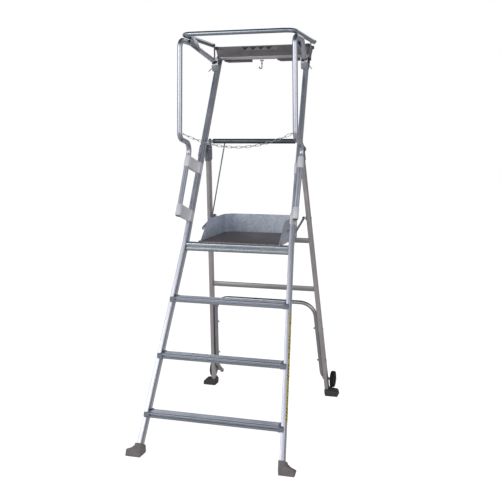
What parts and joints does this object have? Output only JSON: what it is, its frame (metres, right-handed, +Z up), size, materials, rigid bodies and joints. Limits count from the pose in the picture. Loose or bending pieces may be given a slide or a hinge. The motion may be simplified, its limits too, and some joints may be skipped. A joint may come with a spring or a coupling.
{
  "type": "folding platform step ladder",
  "caption": "Wheeled folding aluminium step ladder with ribbed treads, a work platform with toe boards, guard rails, a lifting gate bar, a chain and a tool tray.",
  "frame": {"origin": "floor level, centred between the sides and between the front-most and rear-most points", "axes": "+Z up, +X to the climber's right, +Y from the front feet to the rear feet"},
  "size_m": [0.81, 1.2056, 1.9685],
  "materials": {
    "stile_aluminium": "satin anodised",
    "tread_aluminium": "ribbed, bluish satin",
    "beam_aluminium": "satin",
    "slate_plastic": "matt moulded",
    "grey_rubber": "matt moulded",
    "dark_rubber": "matt moulded",
    "tray_plastic": "matt moulded",
    "black_plastic": "matt moulded",
    "mill_aluminium": "mill finish",
    "leg_aluminium": "mill finish, warm",
    "dark_steel": "satin dark",
    "zinc_steel": "bright zinc plated",
    "guard_aluminium": "satin anodised",
    "clamp_sheet": "light grey, matt",
    "hazard_film": "yellow and black hatch",
    "tyre_rubber": "matt",
    "toe_sheet": "bluish bent sheet",
    "deck_brown": "brown anti-slip film on board"
  },
  "bodies": {
    "front_frame": {"left_stile": "stile_aluminium", "right_stile": "stile_aluminium", "lower_tread": "tread_aluminium", "middle_tread": "tread_aluminium", "upper_tread": "tread_aluminium", "tread_end_caps": "slate_plastic", "front_beam": "beam_aluminium", "left_front_foot": "grey_rubber", "right_front_foot": "grey_rubber", "tool_tray": "tray_plastic", "tray_rail": "mill_aluminium", "tray_corner_caps": "black_plastic", "left_hinge_plate": "dark_steel", "right_hinge_plate": "dark_steel", "hinge_pins": "zinc_steel", "left_clamps": "clamp_sheet", "right_clamps": "clamp_sheet", "left_guard_tube": "guard_aluminium", "right_guard_tube": "guard_aluminium", "left_gate_bracket": "dark_steel", "right_gate_bracket": "dark_steel", "left_catch": "zinc_steel", "right_catch": "zinc_steel", "left_gate_strap": "dark_steel", "right_gate_strap": "dark_steel", "gate_pins": "zinc_steel", "chain": "zinc_steel", "chain_eyes": "zinc_steel", "hazard_strip": "hazard_film", "platform_lugs": "mill_aluminium"},
    "rear_frame": {"left_rear_leg": "leg_aluminium", "right_rear_leg": "leg_aluminium", "lower_crossbar": "mill_aluminium", "upper_crossbar": "mill_aluminium", "wheel_arch": "zinc_steel", "arch_bolts": "zinc_steel", "left_rear_foot": "dark_rubber", "right_rear_foot": "dark_rubber", "left_leg_bracket": "dark_steel", "right_leg_bracket": "dark_steel", "knee_rail": "dark_steel", "rail_spigots": "zinc_steel", "stay_rods": "dark_steel", "strut_bolts": "zinc_steel", "wheel_axles": "zinc_steel"},
    "left_wheel": {"left_tyre": "tyre_rubber", "left_hub": "black_plastic"},
    "right_wheel": {"right_tyre": "tyre_rubber", "right_hub": "black_plastic"},
    "platform": {"deck_frame": "mill_aluminium", "deck_panel": "deck_brown", "toe_boards": "toe_sheet", "platform_pins": "zinc_steel"},
    "left_link": {"left_strut": "zinc_steel"},
    "right_link": {"right_strut": "zinc_steel"},
    "gate": {"gate_bar": "guard_aluminium", "gate_end_caps": "black_plastic"},
    "left_lock": {"left_lock_pin": "black_plastic"},
    "right_lock": {"right_lock_pin": "black_plastic"},
    "hanging_hook": {"tray_hook": "dark_steel"}
  },
  "joints": [
    {"name": "rear_frame_fold", "type": "hinge", "parent": "front_frame", "child": "rear_frame", "pos_m": [0, 0.16246, 1.408], "axis": [-1, 0, 0], "range_deg": [0, 22]},
    {"name": "platform_fold", "type": "hinge", "parent": "front_frame", "child": "platform", "pos_m": [0, -0.09554, 0.9435], "axis": [1, 0, 0], "range_deg": [0, 62.8]},
    {"name": "left_link_pivot", "type": "hinge", "parent": "rear_frame", "child": "left_link", "pos_m": [-0.24903, 0.25059, 1.0465], "axis": [-1, 0, 0], "range_deg": [0, 15]},
    {"name": "right_link_pivot", "type": "hinge", "parent": "rear_frame", "child": "right_link", "pos_m": [0.24903, 0.25059, 1.0465], "axis": [-1, 0, 0], "range_deg": [0, 15]},
    {"name": "gate_lift", "type": "hinge", "parent": "front_frame", "child": "gate", "pos_m": [0, 0.3069, 1.957], "axis": [-1, 0, 0], "range_deg": [0, 95]},
    {"name": "left_wheel_spin", "type": "hinge", "parent": "rear_frame", "child": "left_wheel", "pos_m": [-0.36452, 0.55579, 0.082], "axis": [1, 0, 0], "continuous": true},
    {"name": "right_wheel_spin", "type": "hinge", "parent": "rear_frame", "child": "right_wheel", "pos_m": [0.36452, 0.55579, 0.082], "axis": [1, 0, 0], "continuous": true},
    {"name": "left_lock_pull", "type": "slide", "parent": "front_frame", "child": "left_lock", "axis": [-1, 0, 0], "range_m": [0, 0.016], "stiffness_N_per_m": 300, "springref_m": -0.005},
    {"name": "right_lock_pull", "type": "slide", "parent": "front_frame", "child": "right_lock", "axis": [1, 0, 0], "range_m": [0, 0.016], "stiffness_N_per_m": 300, "springref_m": -0.005},
    {"name": "hook_swing", "type": "hinge", "parent": "front_frame", "child": "hanging_hook", "pos_m": [0, 0.31091, 1.871], "axis": [1, 0, 0], "range_deg": [-50, 50]}
  ],
  "couplings": [
    {"joint": "platform_fold", "follows": "rear_frame_fold", "ratio": 2.85},
    {"joint": "left_link_pivot", "follows": "rear_frame_fold", "ratio": 0.68},
    {"joint": "right_link_pivot", "follows": "rear_frame_fold", "ratio": 0.68}
  ]
}
